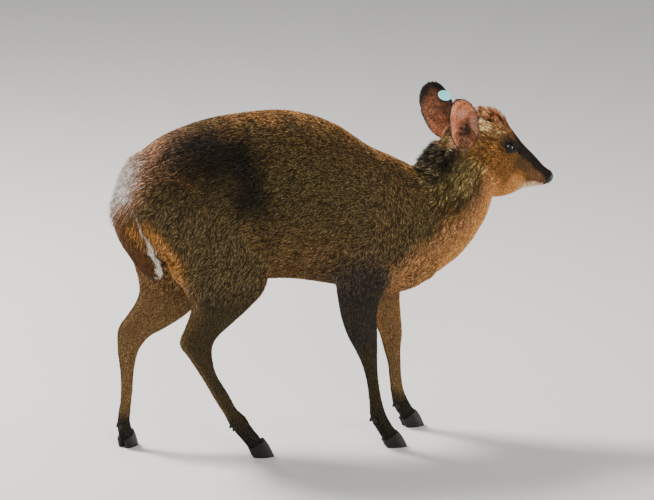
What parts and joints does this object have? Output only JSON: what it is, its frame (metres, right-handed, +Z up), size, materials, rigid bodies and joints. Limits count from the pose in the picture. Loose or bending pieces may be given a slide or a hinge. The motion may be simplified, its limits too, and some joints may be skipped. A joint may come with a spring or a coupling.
{
  "type": "muntjac model",
  "caption": "Life-size still model of a standing muntjac doe with an arched back, low head, cupped ears, hanging tail, slender legs on cloven hooves and a round ear tag.",
  "frame": {"origin": "on the ground, under the middle of the bounding box", "axes": "+X runs along the trunk towards the head, +Y to the animal's left, +Z up; the trunk lies in the plane of X and Z near Y = 0"},
  "size_m": [0.7664, 0.191, 0.5929],
  "materials": {
    "coat": "short dense brown hair with golden tips, darker on the rump, nape and face",
    "ear_skin": "thin skin with sparse short hair",
    "nose_skin": "moist bare black skin",
    "eye": "wet, dark and clear",
    "horn": "dull dark grey horn",
    "tag": "smooth pale blue plastic, bare"
  },
  "bodies": {
    "root": {"chest": "coat", "claw_fore_left_inner": "horn", "claw_fore_left_outer": "horn", "claw_fore_right_inner": "horn", "claw_fore_right_outer": "horn", "claw_hind_left_inner": "horn", "claw_hind_left_outer": "horn", "claw_hind_right_inner": "horn", "claw_hind_right_outer": "horn", "ear_left": "ear_skin", "ear_right": "ear_skin", "ear_tag": "tag", "eye_left": "eye", "eye_right": "eye", "fore_cannon_left": "coat", "fore_cannon_right": "coat", "forearm_left": "coat", "forearm_right": "coat", "gaskin_left": "coat", "gaskin_right": "coat", "head": "coat", "hind_cannon_left": "coat", "hind_cannon_right": "coat", "hindquarters": "coat", "neck": "coat", "nose": "nose_skin", "tail": "coat"}
  },
  "joints": []
}
